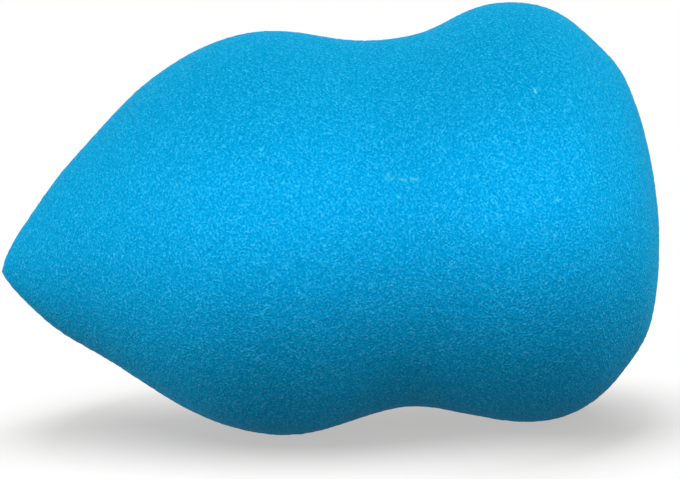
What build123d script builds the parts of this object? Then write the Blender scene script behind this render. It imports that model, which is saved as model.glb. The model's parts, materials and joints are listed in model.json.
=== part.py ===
from build123d import *
import os
from math import atan, cos, degrees, radians, sin, sqrt, tan

# A gourd-shaped makeup sponge: one block of soft fine-cell foam, round about a single axis.
# From the pointed tip it swells to the front bulge, draws in at the waist, swells again to the
# rear bulge, then falls in along a sloping shoulder to a shallow domed base.
# It lies on its side, on its two bulges, with the tip towards -X and the base towards +X.
# The soft foam is pressed flat in a small spot under each bulge, and both spots lie on Z = 0.
# The origin is on the floor, under the middle of the sponge's box.

# Lengths along the axis, in millimetres.
TIP_RUN = 26.4  # tip to front bulge
NECK_RUN = 10.6  # front bulge to waist
BODY_RUN = 11.6  # waist to rear bulge
BASE_RUN = 13.4  # rear bulge to the middle of the base
FLANK_RUN = 9.5  # tip to the straight stretch of the flank

# Across the axis: diameters, and the shoulder's drop.
FLANK_D = 21.7
FRONT_BULGE_D = 38.1
WAIST_D = 34.6
REAR_BULGE_D = 39.7
BASE_CORNER_D = 26.2  # where the shoulder meets the base
SHOULDER_DROP = 2.55  # how far inside the rear bulge's radius the straight shoulder starts

# Angles between the axis and the surface, in degrees.
TIP_ANGLE = 62  # beside the tip
FLANK_ANGLE = 41  # along the flank
SHOULDER_ANGLE = 48.5  # along the straight shoulder

# Roundings.
TIP_RADIUS = 0.5
BASE_DOME_RADIUS = 36.0
BASE_CORNER_RADIUS = 3.0

# How far the foam is pressed in where it rests.
FLAT_SPOT_DEPTH = 0.3

# Places along the axis, from the tip.
FRONT_BULGE_AT = TIP_RUN
WAIST_AT = FRONT_BULGE_AT + NECK_RUN
REAR_BULGE_AT = WAIST_AT + BODY_RUN
BASE_AT = REAR_BULGE_AT + BASE_RUN


def slope(angle):
    """The direction, along X, of a surface that leans from the axis by this many degrees."""
    return (cos(radians(angle)), sin(radians(angle)))


def section():
    """Half of the long section as a face, with the axis along X and the tip at the origin."""
    along, across = slope(TIP_ANGLE)
    nose = (TIP_RADIUS * (1 - across), TIP_RADIUS * along)
    corner_r = BASE_CORNER_D / 2
    corner_at = BASE_AT - BASE_DOME_RADIUS + sqrt(BASE_DOME_RADIUS**2 - corner_r**2)
    corner = (corner_at, corner_r)
    shoulder_r = REAR_BULGE_D / 2 - SHOULDER_DROP
    shoulder = (corner_at - (shoulder_r - corner_r) / tan(radians(SHOULDER_ANGLE)), shoulder_r)
    level = slope(0)
    with BuildSketch() as half:
        with BuildLine():
            RadiusArc((0, 0), nose, TIP_RADIUS)
            Spline(
                nose,
                (FLANK_RUN, FLANK_D / 2),
                (FRONT_BULGE_AT, FRONT_BULGE_D / 2),
                (WAIST_AT, WAIST_D / 2),
                (REAR_BULGE_AT, REAR_BULGE_D / 2),
                shoulder,
                tangents=[slope(TIP_ANGLE), slope(FLANK_ANGLE), level, level, level, slope(-SHOULDER_ANGLE)],
            )
            Line(shoulder, corner)
            RadiusArc(corner, (BASE_AT, 0), BASE_DOME_RADIUS)
            Line((BASE_AT, 0), (0, 0))
        make_face()
        fillet(half.vertices().sort_by_distance(corner)[0], BASE_CORNER_RADIUS)
    return half.sketch


def lying():
    """The sponge at rest, both bulges on the floor, pressed flat where they touch it."""
    lean = atan((REAR_BULGE_D - FRONT_BULGE_D) / 2 / (NECK_RUN + BODY_RUN))
    axis_height = FRONT_BULGE_D / 2 * cos(lean) - FRONT_BULGE_AT * sin(lean) - FLAT_SPOT_DEPTH
    laid = Location((0, 0, axis_height), (0, -degrees(lean), 0)) * revolve(section(), Axis.X)
    reach = 2 * BASE_AT
    above_floor = Pos(0, 0, reach / 2) * Box(2 * reach, reach, reach)
    rested = laid & above_floor
    middle = rested.bounding_box().center()
    return Pos(-middle.X, -middle.Y, 0) * rested


foam_sponge = lying()
foam_sponge.label = "foam_sponge"

os.makedirs("parts", exist_ok=True)
export_step(foam_sponge, "parts/foam_sponge.step")
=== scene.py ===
import json
import math

import bpy
import numpy as np
from mathutils import Matrix, Vector, noise
from mathutils.bvhtree import BVHTree


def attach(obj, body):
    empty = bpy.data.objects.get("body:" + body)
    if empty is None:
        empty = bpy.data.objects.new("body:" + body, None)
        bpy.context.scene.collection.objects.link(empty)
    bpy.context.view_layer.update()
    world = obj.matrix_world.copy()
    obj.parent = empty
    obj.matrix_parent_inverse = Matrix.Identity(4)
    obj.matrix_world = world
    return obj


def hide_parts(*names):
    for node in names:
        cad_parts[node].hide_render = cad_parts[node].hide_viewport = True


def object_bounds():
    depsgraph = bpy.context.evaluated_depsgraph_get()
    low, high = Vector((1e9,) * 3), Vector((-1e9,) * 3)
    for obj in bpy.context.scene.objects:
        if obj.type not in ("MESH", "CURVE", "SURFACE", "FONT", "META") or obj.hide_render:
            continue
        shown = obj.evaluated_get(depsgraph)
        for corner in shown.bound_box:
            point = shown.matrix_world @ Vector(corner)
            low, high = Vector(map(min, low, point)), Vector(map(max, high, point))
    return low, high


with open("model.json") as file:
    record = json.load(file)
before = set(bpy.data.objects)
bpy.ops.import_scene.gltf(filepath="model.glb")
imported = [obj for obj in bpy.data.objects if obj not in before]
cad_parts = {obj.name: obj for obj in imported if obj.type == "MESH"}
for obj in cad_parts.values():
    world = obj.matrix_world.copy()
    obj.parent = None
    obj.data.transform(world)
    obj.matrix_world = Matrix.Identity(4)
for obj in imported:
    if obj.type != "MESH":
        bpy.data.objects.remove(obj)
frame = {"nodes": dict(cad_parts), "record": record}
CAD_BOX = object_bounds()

# Everything is in metres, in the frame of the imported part: +Z up, the floor at Z = 0, the sponge
# lying on its side with its tip towards -X and its base towards +X.
MM = 0.001
NODE = "foam_sponge"

# The mesh.
EDGE = 0.30 * MM  # a triangle's side, which keeps the mesh under 200,000 triangles
OUTLINE_STEPS = 720  # points read along the outline, from tip to base
OUTLINE_PLANES = 12  # planes through the axis that the outline is averaged over
WAIST_STEPS = 101  # places between the two flat spots at which the waist is looked for
FINE_GAP = 0.05 * MM  # between the outline's points while its corner is softened

# How this sponge departs from a perfect solid of revolution.
TIP_DROOP = 1.4 * MM  # the tip hangs to the floor side of the axis
TIP_DROOP_REACH = 10.5 * MM  # how far along the axis the droop goes
BASE_SLANT = 0.029  # how far out the floor side of the base stands, for each metre off the axis
BASE_SLANT_REACH = 10.0 * MM  # how far along the axis the slant goes
BASE_SLANT_START = 4.0 * MM  # how gently the slant sets in across the axis
BASE_WEAR = 1.6 * MM  # how softly the base's corner is rubbed round
BASE_WEAR_REACH = 14.0 * MM  # how far along the axis the wear goes

# Swells and hollows: distance from the tip, turn round the axis (0 is up, 180 the floor side), how
# far the surface stands out there and how far along the axis it goes, in millimetres.
SWELLS = [
    (1.0, 0, 0.36, 1.9),
    (2.6, 180, -0.15, 1.4),
    (9.6, 0, -0.42, 3.4),
    (12.0, 180, -0.42, 4.5),
    (42.4, 0, -0.52, 3.4),
    (45.5, 180, -0.18, 3.0),
    (57.6, 0, -0.12, 3.0),
]
SWELL_TURN = math.radians(50)  # how far round the axis each one goes

# Unevenness of the ground surface: the size of its waves and how far they stand out.
WAVES = [
    (14.0 * MM, 0.10 * MM),
    (4.0 * MM, 0.04 * MM),
    (0.8 * MM, 0.02 * MM),
    (0.4 * MM, 0.06 * MM),
]

# Bright specks and short fibres of lint. The ones that stand out: distance from the tip and length
# along the axis in millimetres, turn round the axis from the top towards -Y in degrees, and how bright.
# Then how many faint ones are strewn at random, how bright one usually is, and the lint's colour.
# Most places in the list were worked out from the photo by a scratch script, and the rest was set by hand.
FLECKS = [
    (50.9, 0, 47, 1.0),
    (50.9, 0, 48, 1.0),
    (51.4, 0, 88, 0.7),
    (51.9, 0, 79, 0.7),
    (56.1, 0, 33, 0.8),
    (25.7, 0, 57, 0.8),
    (19.4, 0, 41, 0.7),
    (17.8, 0, 63, 0.6),
    (37.7, 0, 73, 0.8),
    (38.0, 1.4, 68.4, 0.5),
    (36.7, 0.8, 67.2, 0.3),
    (36.9, 0, 66, 0.6),
    (18.5, 0, 116, 0.7),
    (3.2, 0, 46, 0.6),
]
LINT = 800
LINT_LIGHT = 0.12
LINT_SEED = 5
LINT_COLOUR = (0.13, 0.88, 1.0, 1)


def cad_surface():
    """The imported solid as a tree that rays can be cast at, and its corners."""
    mesh = frame["nodes"][NODE].data
    mesh.calc_loop_triangles()
    corners = [v.co.copy() for v in mesh.vertices]
    return BVHTree.FromPolygons(corners, [t.vertices[:] for t in mesh.loop_triangles]), corners


def find_axis(tree, corners):
    """The tip, the axis' direction and the waist's place along it.

    The axis runs from the tip through the middle of the waist.
    """
    tip = min(corners, key=lambda c: c.x)
    rests = [m["pos_m"][0] for m in frame["record"]["mounts"]]
    middle = (CAD_BOX[0].z + CAD_BOX[1].z) / 2
    slimmest = None
    for x in np.linspace(min(rests), max(rests), WAIST_STEPS):
        start = Vector((x, 0, middle))
        top = tree.ray_cast(start, Vector((0, 0, 1)))[0]
        bottom = tree.ray_cast(start, Vector((0, 0, -1)))[0]
        if slimmest is None or (top - bottom).length < slimmest[0]:
            slimmest = ((top - bottom).length, (top + bottom) / 2)
    waist = slimmest[1]
    return tip, (waist - tip).normalized(), (waist - tip).length


def read_outline(tree, tip, axis, waist_at, side, up):
    """The outline as distances along the axis and from it, averaged over planes clear of the flat spots."""
    centre = tip + axis * waist_at
    angles = np.linspace(0, math.pi, OUTLINE_STEPS + 1)
    reach = np.zeros(len(angles))
    for turn in (np.arange(OUTLINE_PLANES) + 0.5) * math.pi / OUTLINE_PLANES:
        out = side * math.cos(turn) + up * math.sin(turn)
        for i, angle in enumerate(angles):
            way = out * math.sin(angle) - axis * math.cos(angle)
            reach[i] += tree.ray_cast(centre, way)[3] / OUTLINE_PLANES
    return waist_at - reach * np.cos(angles), reach * np.sin(angles)


def smooth_step(t):
    t = np.clip(t, 0, 1)
    return t * t * (3 - 2 * t)


def evenly_spaced(along, across, gap):
    """The outline's points again, the same distance apart."""
    travelled = np.concatenate([[0], np.cumsum(np.hypot(np.diff(along), np.diff(across)))])
    at = np.linspace(0, travelled[-1], round(travelled[-1] / gap) + 1)
    return np.interp(at, travelled, along), np.interp(at, travelled, across)


def wear_base(along, across):
    """The outline with the base's corner rubbed softer."""
    u, r = evenly_spaced(along, across, FINE_GAP)
    half = round(2.5 * BASE_WEAR / FINE_GAP)
    window = np.exp(-0.5 * (np.arange(-half, half + 1) * FINE_GAP / BASE_WEAR) ** 2)
    window /= window.sum()
    soft_u = np.convolve(np.concatenate([u, u[-2::-1]]), window, "same")[: len(u)]
    soft_r = np.convolve(np.concatenate([r, -r[-2::-1]]), window, "same")[: len(r)]
    share = smooth_step((u - (u[-1] - BASE_WEAR_REACH)) / (BASE_WEAR_REACH / 2))
    return u + (soft_u - u) * share, r + (soft_r - r) * share


def rings(along, across):
    """Evenly spaced rings over the outline: their places along the axis, radii and numbers of points."""
    u, r = evenly_spaced(along, across, EDGE * math.sqrt(3) / 2)
    r[0] = r[-1] = 0
    points = np.maximum(6, np.round(2 * math.pi * r / EDGE)).astype(int)
    points[0] = points[-1] = 1
    return u, r, points


def zip_rings(points):
    """Triangles between neighbouring rings, whatever their numbers of points.

    Every other ring is turned by half a step.
    """
    first = np.concatenate([[0], np.cumsum(points)])
    faces = []
    for k in range(len(points) - 1):
        a, b = points[k], points[k + 1]
        i = j = 0
        while i < a or j < b:
            p, q = first[k] + i % a, first[k + 1] + j % b
            next_a = (i + 1 + 0.5 * (k % 2)) / a if a > 1 else math.inf
            next_b = (j + 1 + 0.5 * ((k + 1) % 2)) / b if b > 1 else math.inf
            if j == b or (i < a and next_a <= next_b):
                if a > 1:
                    faces.append((p, q, first[k] + (i + 1) % a))
                i += 1
            else:
                if b > 1:
                    faces.append((p, q, first[k + 1] + (j + 1) % b))
                j += 1
    return np.array(faces)


def sponge_points(tip, axis, side, up, u, r, points):
    """Every point of the mesh, with the tip's droop, the base's slant and the swells."""
    ring = np.repeat(np.arange(len(points)), points)
    first = np.concatenate([[0], np.cumsum(points)[:-1]])
    step = np.arange(len(ring)) - first[ring]
    turn = 2 * math.pi * (step + 0.5 * (ring % 2)) / points[ring]
    place, radius = u[ring], r[ring].copy()
    for swell_at, swell_turn, height, length in SWELLS:
        away = (turn - math.radians(swell_turn) + math.pi) % (2 * math.pi) - math.pi
        bell = np.exp(-((place / MM - swell_at) / length) ** 2 - (away / SWELL_TURN) ** 2)
        radius += height * MM * bell * smooth_step(radius / MM)
    lift, out = radius * np.cos(turn), radius * np.sin(turn)
    below = (np.hypot(lift, BASE_SLANT_START) - lift) / 2
    place = place + BASE_SLANT * below * smooth_step((place - u[-1]) / BASE_SLANT_REACH + 1)
    lift = lift - TIP_DROOP * smooth_step(1 - place / TIP_DROOP_REACH)
    ends = np.array([tip, axis, side, up])
    return ends[0] + place[:, None] * ends[1] + out[:, None] * ends[2] + lift[:, None] * ends[3]


def vertex_normals(points, faces):
    a, b, c = (points[faces[:, i]] for i in range(3))
    face = np.cross(b - a, c - a)
    total = np.zeros_like(points)
    for i in range(3):
        np.add.at(total, faces[:, i], face)
    return total / np.linalg.norm(total, axis=1)[:, None]


def roughen(points, faces):
    """Moves each point along its normal by several sizes of noise, and none below the floor."""
    height = np.zeros(len(points))
    for size, depth in WAVES:
        height += depth * np.array([noise.noise(Vector(p)) for p in points / size])
    points = points + vertex_normals(points, faces) * height[:, None]
    points[:, 2] = np.maximum(points[:, 2], 0)
    return points


def mark_flecks(mesh, points, tip, axis, side, up):
    """Marks the mesh's points nearest each fleck, and more at random, for the material to colour.

    The marks are square roots, because the material squares them to keep each fleck small.
    """
    away = points - np.array(tip)
    place, out, lift = (away @ np.array(way) for way in (axis, side, up))
    turn = np.degrees(np.arctan2(-out, lift))
    chance = np.random.default_rng(LINT_SEED)
    marks = np.zeros(len(points))
    marks[chance.choice(len(points), LINT, replace=False)] = chance.exponential(LINT_LIGHT, LINT)
    for start, length, fleck_turn, light in FLECKS:
        across = np.hypot(out, lift) * np.radians(turn - fleck_turn)
        for at in np.arange(start * MM, (start + length) * MM + EDGE / 2, EDGE):
            marks[np.argmin(np.hypot(place - at, across))] = light
    mesh.attributes.new("fleck", "FLOAT", "POINT").data.foreach_set("value", np.sqrt(marks))


def build_sponge():
    tree, corners = cad_surface()
    tip, axis, waist_at = find_axis(tree, corners)
    side = Vector((0, 1, 0))
    up = axis.cross(side)
    along, across = read_outline(tree, tip, axis, waist_at, side, up)
    u, r, count = rings(*wear_base(along, across))
    faces = zip_rings(count)
    points = roughen(sponge_points(tip, axis, side, up, u, r, count), faces)
    mesh = bpy.data.meshes.new("sponge")
    mesh.from_pydata(points, [], faces.tolist())
    mesh.shade_smooth()
    mark_flecks(mesh, points, tip, axis, side, up)
    mesh.materials.append(foam_material())
    sponge = bpy.data.objects.new("sponge", mesh)
    bpy.context.scene.collection.objects.link(sponge)
    return sponge


def node(tree, kind, inputs=None, **settings):
    """A shader node with its settings and inputs; an input is a value, or a socket that is linked to it."""
    made = tree.nodes.new(kind)
    for name, value in settings.items():
        setattr(made, name, value)
    for name, value in (inputs or {}).items():
        if isinstance(value, bpy.types.NodeSocket):
            tree.links.new(value, made.inputs[name])
        else:
            made.inputs[name].default_value = value
    return made


def mixed(tree, share, first, second):
    """A shader that goes from the first to the second as the share goes from 0 to 1."""
    return node(tree, "ShaderNodeMixShader", {"Fac": share, 1: first.outputs[0], 2: second.outputs[0]})


def new_material(name):
    material = bpy.data.materials.new(name)
    material.use_nodes = True
    material.node_tree.nodes.clear()
    return material, material.node_tree


# The foam. Its grain: the sizes of the cells and of the tufts between them, how strongly the cells show,
# then how strongly the tufts' crests, brightened with painted highlight, and the pores' hollows, darkened
# with painted shade, do, and where on the noise each starts. Its colours run from painted shade in the open
# pores over the body's blue to the cell walls, partly their own paler tone and partly painted highlight.
CELL = 0.20 * MM
TUFT = 0.21 * MM
GRAIN = 0.75
# How high the tufts' crests stand in the bump, and how much painted highlight brightens them in the colour.
CREST_HEIGHT_AND_HIGHLIGHT = 2.1
SPECK_FROM = 0.59
# How deep the pores sink in the bump, and how much painted shade darkens them in the colour.
PORE_DEPTH_AND_SHADE = 0.7
PORE_FROM = 0.40
# The pores' colour is painted shade: the darkness that falls in their hollows.
PORE_SHADE = (0.0, 0.28, 0.57, 1)
BLUE = (0.0, 0.42, 0.79, 1)
# The cell walls' colour: partly their own paler tone, partly a painted highlight where light catches them.
WALL_TONE_AND_HIGHLIGHT = (0.028, 0.61, 1.0, 1)
PORE_AT = 0.1
BLUE_AT = 0.5
WALL_AT = 0.9
BUMP = 0.09 * MM

# How it takes the light: matt all over, a little less so on the walls, with a velvety sheen at its edge.
PORE_ROUGH = 0.97
WALL_ROUGH = 0.80
SPECULAR = 0.02
SHEEN_WEIGHT = 0.28
SHEEN_ROUGH = 0.07
SHEEN_TINT = (0.7, 0.8, 0.46, 1)


def foam_material():
    """Fine-cell foam: a matt cyan-blue with paler cell walls that carry a painted highlight, darker pores
    that carry painted shade, and a faint velvety edge.
    """
    material, tree = new_material("blue_foam")
    place = node(tree, "ShaderNodeTexCoord").outputs["Object"]

    def maths(operation, a, b):
        return node(tree, "ShaderNodeMath", {0: a, 1: b}, operation=operation).outputs[0]

    def above(a, b):
        return maths("MAXIMUM", maths("SUBTRACT", a, b), 0.0)

    cells = node(tree, "ShaderNodeTexNoise", {"Vector": place, "Scale": 1 / CELL, "Detail": 0.0})
    tufts = node(tree, "ShaderNodeTexNoise", {"Vector": place, "Scale": 1 / TUFT, "Detail": 0.0})
    channels = node(tree, "ShaderNodeSeparateColor", {"Color": cells.outputs["Color"]})
    # The tufts' crests: their height in the bump, and painted highlight in the colour.
    specks = maths("MULTIPLY", above(tufts.outputs["Fac"], SPECK_FROM), CREST_HEIGHT_AND_HIGHLIGHT)
    # The pores: their depth in the bump, and painted shade in the colour.
    pores = maths("MULTIPLY", above(PORE_FROM, channels.outputs[1]), PORE_DEPTH_AND_SHADE)
    grain = maths("MULTIPLY", maths("SUBTRACT", channels.outputs[0], 0.5), GRAIN)
    texture = maths("ADD", maths("SUBTRACT", maths("ADD", grain, specks), pores), BLUE_AT)
    tone = node(tree, "ShaderNodeValToRGB", {"Fac": texture})
    # The ramp runs from painted shade in the pores over the body's blue to the walls' paler tone with
    # painted highlight.
    shaded_pore, wall_and_highlight = tone.color_ramp.elements
    shaded_pore.position = PORE_AT
    shaded_pore.color = PORE_SHADE
    wall_and_highlight.position = WALL_AT
    wall_and_highlight.color = WALL_TONE_AND_HIGHLIGHT
    tone.color_ramp.elements.new(BLUE_AT).color = BLUE
    mark = node(tree, "ShaderNodeAttribute", attribute_name="fleck").outputs["Fac"]
    colour = node(tree, "ShaderNodeMixRGB", {
        "Fac": maths("MULTIPLY", mark, mark),
        "Color1": tone.outputs["Color"],
        "Color2": LINT_COLOUR,
    })
    bump = node(tree, "ShaderNodeBump", {"Height": texture, "Strength": 1.0, "Distance": BUMP})
    rough = node(tree, "ShaderNodeMapRange", {
        "Value": texture,
        "From Min": PORE_AT,
        "From Max": WALL_AT,
        "To Min": PORE_ROUGH,
        "To Max": WALL_ROUGH,
    })
    shader = node(tree, "ShaderNodeBsdfPrincipled", {
        "Base Color": colour.outputs["Color"],
        "Roughness": rough.outputs["Result"],
        "Specular IOR Level": SPECULAR,
        "Sheen Weight": SHEEN_WEIGHT,
        "Sheen Roughness": SHEEN_ROUGH,
        "Sheen Tint": SHEEN_TINT,
        "Normal": bump.outputs["Normal"],
    })
    node(tree, "ShaderNodeOutputMaterial", {"Surface": shader.outputs["BSDF"]})
    return material


def white_for_the_camera(tree):
    """1 on what the camera sees, by itself or in a mirror or glass, and 0 on light that falls on things."""
    path = node(tree, "ShaderNodeLightPath").outputs
    seen = node(tree, "ShaderNodeMath", {0: path["Is Camera Ray"], 1: path["Is Glossy Ray"]},
                operation="MAXIMUM")
    both = node(tree, "ShaderNodeMath", {0: seen.outputs[0], 1: path["Is Transmission Ray"]},
                operation="MAXIMUM")
    return both.outputs[0]


def grey(value):
    return (value, value, value, 1)


# The floor. It glows on the sponge, as a bright table throws light up at what lies on it. The camera sees
# its own grey and a lift under the floor's own lamp, which fades into plain white away from the shadow.
GLOW_TINT = (3, 1, 0.99, 1)
FLOOR_GLOW = 0.188
FLOOR_GREY = 0.19
FLOOR_LIFT = (0.475, 0.46, 0.446, 1)
FADE_FROM = 28 * MM
FADE_TO = 40 * MM
FLOOR_MIDDLE = 1 * MM
FLOOR_RADIUS = 30
FLOOR_CORNERS = 64


def floor_material():
    """White, with the sponge's soft shadow near it and plain white further out."""
    material, tree = new_material("white_floor")
    glow = node(tree, "ShaderNodeEmission", {"Color": GLOW_TINT, "Strength": FLOOR_GLOW})
    shaded = node(tree, "ShaderNodeBsdfDiffuse", {"Color": grey(FLOOR_GREY)})
    lift = node(tree, "ShaderNodeEmission", {"Color": FLOOR_LIFT, "Strength": 1.0})
    lit = node(tree, "ShaderNodeAddShader", {0: shaded.outputs[0], 1: lift.outputs[0]})
    white = node(tree, "ShaderNodeEmission", {"Color": grey(1), "Strength": 1.0})
    place = node(tree, "ShaderNodeTexCoord").outputs["Object"]
    far = node(tree, "ShaderNodeVectorMath", {0: place}, operation="LENGTH").outputs["Value"]
    fade = node(tree, "ShaderNodeMapRange", {"Value": far, "From Min": FADE_FROM, "From Max": FADE_TO})
    near = mixed(tree, fade.outputs["Result"], lit, white)
    shown = mixed(tree, white_for_the_camera(tree), glow, near)
    node(tree, "ShaderNodeOutputMaterial", {"Surface": shown.outputs[0]})
    return material


def make_floor():
    """A large disc at Z = 0."""
    turns = np.arange(FLOOR_CORNERS) * 2 * math.pi / FLOOR_CORNERS
    rim = [(FLOOR_RADIUS * math.cos(t), FLOOR_RADIUS * math.sin(t), 0) for t in turns]
    mesh = bpy.data.meshes.new("floor")
    mesh.from_pydata(rim, [], [range(FLOOR_CORNERS)])
    mesh.materials.append(floor_material())
    floor = bpy.data.objects.new("floor", mesh)
    floor.location.x = FLOOR_MIDDLE
    bpy.context.scene.collection.objects.link(floor)
    return floor


# The soft light from all round.
FILL = 0.68
FILL_TINT = (1, 1, 1.03, 1)


def make_world():
    """Soft light on the sponge from all round, and plain white where the camera sees past the floor."""
    world = bpy.data.worlds.new("studio")
    world.use_nodes = True
    tree = world.node_tree
    tree.nodes.clear()
    fill = node(tree, "ShaderNodeBackground", {"Color": FILL_TINT, "Strength": FILL})
    white = node(tree, "ShaderNodeBackground", {"Color": grey(1), "Strength": 1.0})
    shown = mixed(tree, white_for_the_camera(tree), fill, white)
    node(tree, "ShaderNodeOutputWorld", {"Surface": shown.outputs[0]})
    bpy.context.scene.world = world


# Two wide suns on the sponge: how high each stands, how far round from the camera's side, and its light,
# where 1 shows a colour as it is written.
SUNS = {"left": (12, -100, 0.27), "right": (43, 110, 0.325)}
SUN_WIDTH = math.radians(30)
SUN_TINT = (1, 1, 0.93)

# A long strip light close in front of the sponge, level with its middle and tipped down at it.
STRIP_AWAY = 35 * MM
STRIP_HEIGHT = 13
STRIP_SIZE = (138 * MM, 12 * MM)
STRIP_LIGHT = 0.745
STRIP_TINT = (0.815, 0.843, 1)

# A long lamp askew over the sponge, which lights the floor only and throws the shadow.
TOP_PLACE = (9.4 * MM, 9.4 * MM, 65 * MM)
TOP_TURN = 51
TOP_SIZE = (187 * MM, 30 * MM)
TOP_LIGHT = 8.3


def direction(height, round_):
    """The way to a lamp that stands this high, in degrees, and this far round from the camera's side."""
    h, a = math.radians(height), math.radians(round_)
    return Vector((math.cos(h) * math.sin(a), -math.cos(h) * math.cos(a), math.sin(h)))


def turned(angle):
    return Matrix.Rotation(angle, 4, "Z").to_quaternion()


def add_lamp(name, kind, toward, receiver, turn=0, tint=(1, 1, 1)):
    """A lamp that faces along -toward, lights one object only and isn't seen itself."""
    data = bpy.data.lights.new(name, kind)
    data.color = tint
    lamp = bpy.data.objects.new(name, data)
    lamp.rotation_mode = "QUATERNION"
    lamp.rotation_quaternion = toward.to_track_quat("Z", "Y") @ turned(math.radians(turn))
    lamp.visible_camera = False
    bpy.context.scene.collection.objects.link(lamp)
    lit = bpy.data.collections.new(name + "_lights")
    lit.objects.link(receiver)
    lamp.light_linking.receiver_collection = lit
    return lamp


def add_strip(name, place, away, size, light, **settings):
    """A long rectangular lamp that gives the stated light at a distance."""
    lamp = add_lamp(name, "AREA", **settings)
    lamp.location = place
    lamp.data.shape = "RECTANGLE"
    lamp.data.size, lamp.data.size_y = size
    lamp.data.energy = (math.pi * away) ** 2 * light


def make_lamps(sponge, floor):
    for name, (height, round_, light) in SUNS.items():
        sun = add_lamp(name, "SUN", direction(height, round_), sponge, tint=SUN_TINT)
        sun.data.energy = math.pi * light
        sun.data.angle = SUN_WIDTH
    front = direction(STRIP_HEIGHT, 0)
    middle = Vector((0, 0, (CAD_BOX[0].z + CAD_BOX[1].z) / 2))
    add_strip("strip", middle + front * STRIP_AWAY, STRIP_AWAY, STRIP_SIZE, STRIP_LIGHT,
              toward=front, receiver=sponge, tint=STRIP_TINT)
    add_strip("top", TOP_PLACE, TOP_PLACE[2], TOP_SIZE, TOP_LIGHT,
              toward=Vector((0, 0, 1)), receiver=floor, turn=TOP_TURN)


# The camera: a long lens a little above the sponge and slightly rolled.
ELEVATION = math.radians(9)
ROLL = math.radians(-2.9)
LENS = 250
SENSOR = 36
VIEW_WIDTH = 64.07 * MM  # what the picture's width spans at the sponge
AIM = (1.03 * MM, 0, -1.84 * MM)  # from the middle of the sponge's box
CLIP_START = 0.01
CLIP_END = 20


def make_camera():
    target = (CAD_BOX[0] + CAD_BOX[1]) / 2 + Vector(AIM)
    back = Vector((0, -math.cos(ELEVATION), math.sin(ELEVATION)))
    data = bpy.data.cameras.new("camera")
    data.lens = LENS
    data.sensor_width = SENSOR
    data.clip_start = CLIP_START
    data.clip_end = CLIP_END
    camera = bpy.data.objects.new("camera", data)
    camera.rotation_mode = "QUATERNION"
    camera.location = target + back * (VIEW_WIDTH * LENS / SENSOR)
    camera.rotation_quaternion = (-back).to_track_quat("-Z", "Y") @ turned(ROLL)
    bpy.context.scene.collection.objects.link(camera)
    bpy.context.scene.camera = camera


sponge = build_sponge()
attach(sponge, "root")
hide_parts(NODE)
make_lamps(sponge, make_floor())
make_world()
make_camera()
bpy.context.scene.view_settings.view_transform = "Standard"
